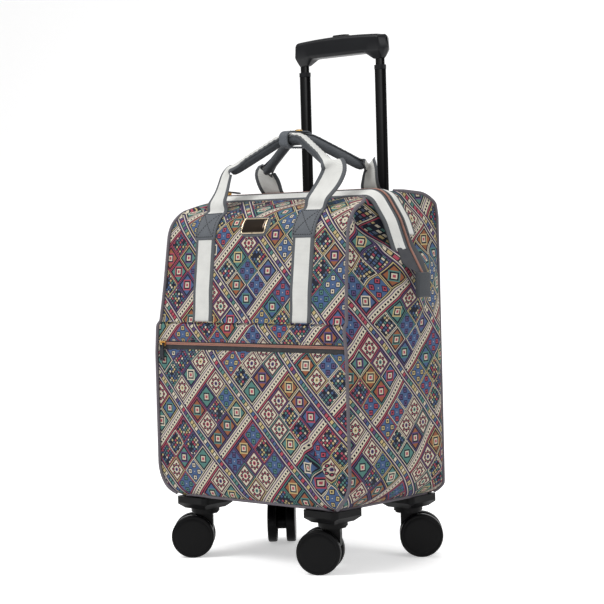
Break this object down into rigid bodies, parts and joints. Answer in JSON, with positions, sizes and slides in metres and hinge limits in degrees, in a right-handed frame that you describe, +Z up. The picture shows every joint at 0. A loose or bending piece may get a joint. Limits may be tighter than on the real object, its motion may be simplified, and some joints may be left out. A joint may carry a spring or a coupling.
{
  "type": "rolling backpack",
  "caption": "Soft trolley bag with a framed zip mouth, carry handles, front zip pocket, telescopic handle and swivelling twin-wheel casters.",
  "frame": {"origin": "on the floor under the middle of the bag, at the centre of its bounding box", "axes": "+Z up, +X to the right seen from the front, -Y towards the bag's front"},
  "size_m": [0.445, 0.2513, 0.7365],
  "materials": {
    "printed_fabric": "woven cotton canvas with a printed pattern, matt",
    "base_fabric": "coated black lining cloth",
    "zip_tape": "woven zip tape",
    "zip_coil": "metallised coil",
    "slider_metal": "gold-toned plating",
    "pull_tag": "grained synthetic leather",
    "band_webbing": "woven band",
    "webbing": "white woven webbing with grey edges",
    "grey_leather": "fine-grained synthetic leather",
    "piping": "cloth-covered cord",
    "steel": "bright zinc plate",
    "badge_metal": "dark bronze-toned plate, blank",
    "snap_metal": "gold-toned plating",
    "board": "stiff sheet",
    "tube_metal": "black anodised",
    "black_plastic": "moulded, finely textured",
    "button_plastic": "moulded, smooth",
    "wheel": "moulded, satin"
  },
  "bodies": {
    "bag": {"base_panel": "base_fabric", "side_gussets": "printed_fabric", "rear_panel": "printed_fabric", "front_panel": "printed_fabric", "front_pocket": "printed_fabric", "pocket_zip_tape": "zip_tape", "pocket_zip_coil": "zip_coil", "mouth_band_front": "band_webbing", "mouth_band_rear": "band_webbing", "mouth_zip_tape": "zip_tape", "mouth_zip_coil": "zip_coil", "zip_end_tabs": "grey_leather", "mouth_frame_wires": "steel", "panel_piping": "piping", "base_piping": "piping", "front_straps": "webbing", "handle_patches": "grey_leather", "badge_backing": "grey_leather", "badge_plate": "badge_metal", "front_handle_grip": "grey_leather", "front_handle_strap": "webbing", "rear_handle_grip": "grey_leather", "rear_handle_strap": "webbing", "handle_wrap": "grey_leather", "handle_snap": "snap_metal", "base_board": "board", "back_board": "board", "outer_tubes": "tube_metal", "tube_foot_bracket": "black_plastic", "tube_top_housing": "black_plastic", "caster_mount_fl": "black_plastic", "caster_mount_fr": "black_plastic", "caster_mount_rl": "black_plastic", "caster_mount_rr": "black_plastic", "caster_screws": "steel"},
    "mid_stage": {"mid_tubes": "tube_metal", "mid_tube_collars": "black_plastic"},
    "pull_handle": {"inner_tubes": "tube_metal", "grip_handle": "black_plastic"},
    "release_button": {"grip_button": "button_plastic"},
    "pocket_slider": {"pocket_zip_slider": "slider_metal"},
    "pocket_pull": {"pocket_zip_pull": "pull_tag"},
    "mouth_slider": {"mouth_zip_slider": "slider_metal"},
    "mouth_pull": {"mouth_zip_pull": "pull_tag"},
    "front_left_caster": {"caster_fork_fl": "black_plastic", "caster_axle_fl": "steel"},
    "front_left_wheel_a": {"wheel_fl_a": "wheel"},
    "front_left_wheel_b": {"wheel_fl_b": "wheel"},
    "front_right_caster": {"caster_fork_fr": "black_plastic", "caster_axle_fr": "steel"},
    "front_right_wheel_a": {"wheel_fr_a": "wheel"},
    "front_right_wheel_b": {"wheel_fr_b": "wheel"},
    "rear_left_caster": {"caster_fork_rl": "black_plastic", "caster_axle_rl": "steel"},
    "rear_left_wheel_a": {"wheel_rl_a": "wheel"},
    "rear_left_wheel_b": {"wheel_rl_b": "wheel"},
    "rear_right_caster": {"caster_fork_rr": "black_plastic", "caster_axle_rr": "steel"},
    "rear_right_wheel_a": {"wheel_rr_a": "wheel"},
    "rear_right_wheel_b": {"wheel_rr_b": "wheel"}
  },
  "joints": [
    {"name": "outer_stage_slide", "type": "slide", "parent": "bag", "child": "mid_stage", "axis": [0, 0, 1], "range_m": [-0.185, 0]},
    {"name": "inner_stage_slide", "type": "slide", "parent": "mid_stage", "child": "pull_handle", "axis": [0, 0, 1], "range_m": [0, 0.24]},
    {"name": "button_press", "type": "slide", "parent": "pull_handle", "child": "release_button", "axis": [0, 0, 1], "range_m": [-0.003, 0], "stiffness_N_per_m": 800},
    {"name": "pocket_zip_run", "type": "slide", "parent": "bag", "child": "pocket_slider", "axis": [1, 0, 0], "range_m": [0, 0.327]},
    {"name": "pocket_pull_swing", "type": "hinge", "parent": "pocket_slider", "child": "pocket_pull", "pos_m": [-0.1639, -0.1143, 0.303], "axis": [1, 0, 0], "range_deg": [-170, 4]},
    {"name": "mouth_zip_run", "type": "slide", "parent": "bag", "child": "mouth_slider", "axis": [1, 0, 0], "range_m": [0, 0.272]},
    {"name": "mouth_pull_swing", "type": "hinge", "parent": "mouth_slider", "child": "mouth_pull", "pos_m": [-0.136, 0, 0.5163], "axis": [1, 0, 0], "range_deg": [0, 190]},
    {"name": "front_left_caster_swivel", "type": "hinge", "parent": "bag", "child": "front_left_caster", "pos_m": [-0.12, -0.08, 0.064], "axis": [0, 0, 1], "continuous": true},
    {"name": "front_left_wheel_a_spin", "type": "hinge", "parent": "front_left_caster", "child": "front_left_wheel_a", "pos_m": [-0.13321, -0.09148, 0.03], "axis": [0.6561, -0.7547, 0], "continuous": true},
    {"name": "front_left_wheel_b_spin", "type": "hinge", "parent": "front_left_caster", "child": "front_left_wheel_b", "pos_m": [-0.13321, -0.09148, 0.03], "axis": [0.6561, -0.7547, 0], "continuous": true},
    {"name": "front_right_caster_swivel", "type": "hinge", "parent": "bag", "child": "front_right_caster", "pos_m": [0.12, -0.08, 0.064], "axis": [0, 0, 1], "continuous": true},
    {"name": "front_right_wheel_a_spin", "type": "hinge", "parent": "front_right_caster", "child": "front_right_wheel_a", "pos_m": [0.105, -0.08901, 0.03], "axis": [0.515, -0.8572, 0], "continuous": true},
    {"name": "front_right_wheel_b_spin", "type": "hinge", "parent": "front_right_caster", "child": "front_right_wheel_b", "pos_m": [0.105, -0.08901, 0.03], "axis": [0.515, -0.8572, 0], "continuous": true},
    {"name": "rear_left_caster_swivel", "type": "hinge", "parent": "bag", "child": "rear_left_caster", "pos_m": [-0.12, 0.08, 0.064], "axis": [0, 0, 1], "continuous": true},
    {"name": "rear_left_wheel_a_spin", "type": "hinge", "parent": "rear_left_caster", "child": "rear_left_wheel_a", "pos_m": [-0.10875, 0.06659, 0.03], "axis": [0.766, 0.6428, 0], "continuous": true},
    {"name": "rear_left_wheel_b_spin", "type": "hinge", "parent": "rear_left_caster", "child": "rear_left_wheel_b", "pos_m": [-0.10875, 0.06659, 0.03], "axis": [0.766, 0.6428, 0], "continuous": true},
    {"name": "rear_right_caster_swivel", "type": "hinge", "parent": "bag", "child": "rear_right_caster", "pos_m": [0.12, 0.08, 0.064], "axis": [0, 0, 1], "continuous": true},
    {"name": "rear_right_wheel_a_spin", "type": "hinge", "parent": "rear_right_caster", "child": "rear_right_wheel_a", "pos_m": [0.13341, 0.09125, 0.03], "axis": [-0.6428, 0.766, 0], "continuous": true},
    {"name": "rear_right_wheel_b_spin", "type": "hinge", "parent": "rear_right_caster", "child": "rear_right_wheel_b", "pos_m": [0.13341, 0.09125, 0.03], "axis": [-0.6428, 0.766, 0], "continuous": true}
  ]
}
